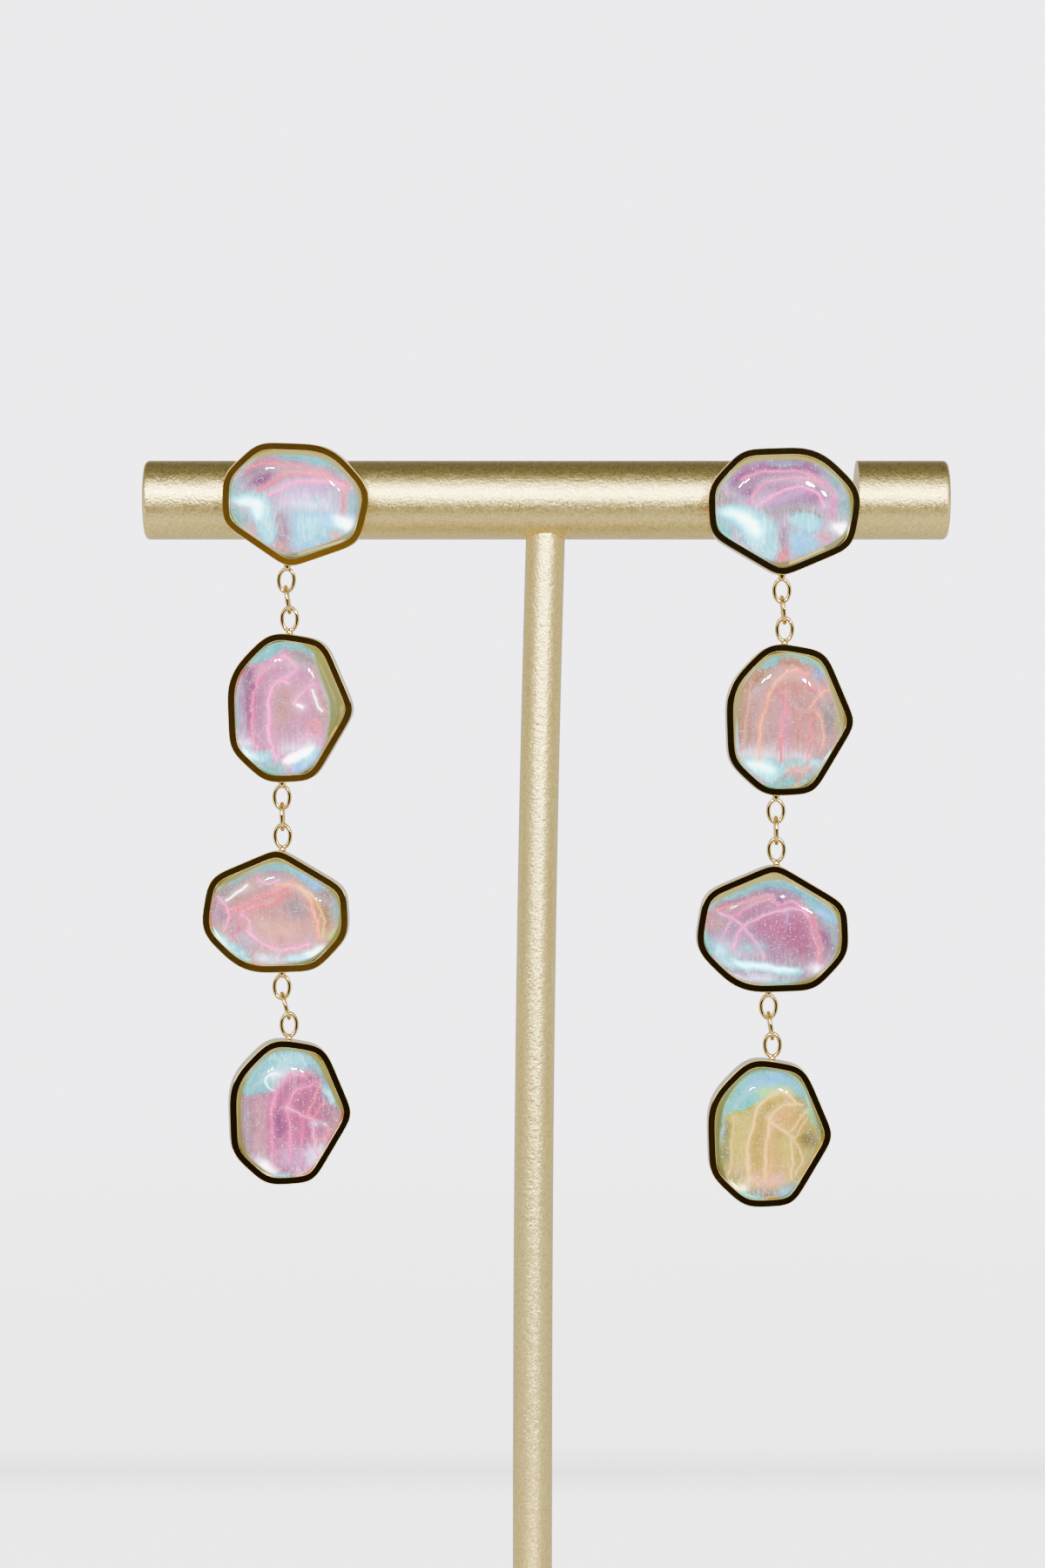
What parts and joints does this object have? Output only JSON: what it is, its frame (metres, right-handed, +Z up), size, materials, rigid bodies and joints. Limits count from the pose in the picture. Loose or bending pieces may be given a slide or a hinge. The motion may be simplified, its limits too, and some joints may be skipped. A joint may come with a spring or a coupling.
{
  "type": "pair of drop earrings on a T-bar earring stand",
  "caption": "Long drop earrings of bezel-set iridescent glass stones joined by short link chains, hanging from the notched bar of a satin gold T-bar stand.",
  "frame": {"origin": "on the table, at the middle of the underside of the object's box, below the middle of the bar", "axes": "+X along the bar to the right earring, +Z up, the stones face -Y"},
  "size_m": [0.0812, 0.065, 0.1309],
  "materials": {
    "satin_gold": "satin champagne gold",
    "polished_gold": "polished gold plate",
    "violet_glass": "foiled iridescent glass, violet and aqua",
    "pink_glass": "foiled iridescent glass, pink and aqua",
    "peach_glass": "foiled iridescent glass, peach and aqua",
    "yellow_glass": "foiled iridescent glass, gold and aqua"
  },
  "bodies": {
    "stand": {"stand_bar": "satin_gold", "stand_rod": "satin_gold", "stand_base": "satin_gold", "left_ear_back": "polished_gold", "left_1_bezel": "polished_gold", "left_1_stone": "violet_glass", "right_ear_back": "polished_gold", "right_1_bezel": "polished_gold", "right_1_stone": "violet_glass"},
    "left_upper_drop": {"left_2_loose_link": "polished_gold", "left_2_bezel": "polished_gold", "left_2_stone": "pink_glass"},
    "left_middle_drop": {"left_3_loose_link": "polished_gold", "left_3_bezel": "polished_gold", "left_3_stone": "peach_glass"},
    "left_lower_drop": {"left_4_loose_link": "polished_gold", "left_4_bezel": "polished_gold", "left_4_stone": "pink_glass"},
    "right_upper_drop": {"right_2_loose_link": "polished_gold", "right_2_bezel": "polished_gold", "right_2_stone": "peach_glass"},
    "right_middle_drop": {"right_3_loose_link": "polished_gold", "right_3_bezel": "polished_gold", "right_3_stone": "pink_glass"},
    "right_lower_drop": {"right_4_loose_link": "polished_gold", "right_4_bezel": "polished_gold", "right_4_stone": "yellow_glass"}
  },
  "joints": [
    {"name": "left_upper_swing", "type": "hinge", "parent": "stand", "child": "left_upper_drop", "pos_m": [-0.02607, -0.00488, 0.11596], "axis": [1, 0, 0], "range_deg": [-60, 60]},
    {"name": "left_middle_swing", "type": "hinge", "parent": "left_upper_drop", "child": "left_middle_drop", "pos_m": [-0.02648, -0.00399, 0.09429], "axis": [0.9998, -0.0174, 0], "range_deg": [-50, 50]},
    {"name": "left_lower_swing", "type": "hinge", "parent": "left_middle_drop", "child": "left_lower_drop", "pos_m": [-0.02652, -0.00368, 0.07527], "axis": [0.9998, -0.0174, 0], "range_deg": [-50, 50]},
    {"name": "right_upper_swing", "type": "hinge", "parent": "stand", "child": "right_upper_drop", "pos_m": [0.02348, -0.00533, 0.1149], "axis": [1, 0, 0], "range_deg": [-60, 60]},
    {"name": "right_middle_swing", "type": "hinge", "parent": "right_upper_drop", "child": "right_middle_drop", "pos_m": [0.02291, -0.00498, 0.09292], "axis": [1, 0, 0], "range_deg": [-50, 50]},
    {"name": "right_lower_swing", "type": "hinge", "parent": "right_middle_drop", "child": "right_lower_drop", "pos_m": [0.0222, -0.00451, 0.07337], "axis": [1, 0, 0], "range_deg": [-50, 50]}
  ]
}
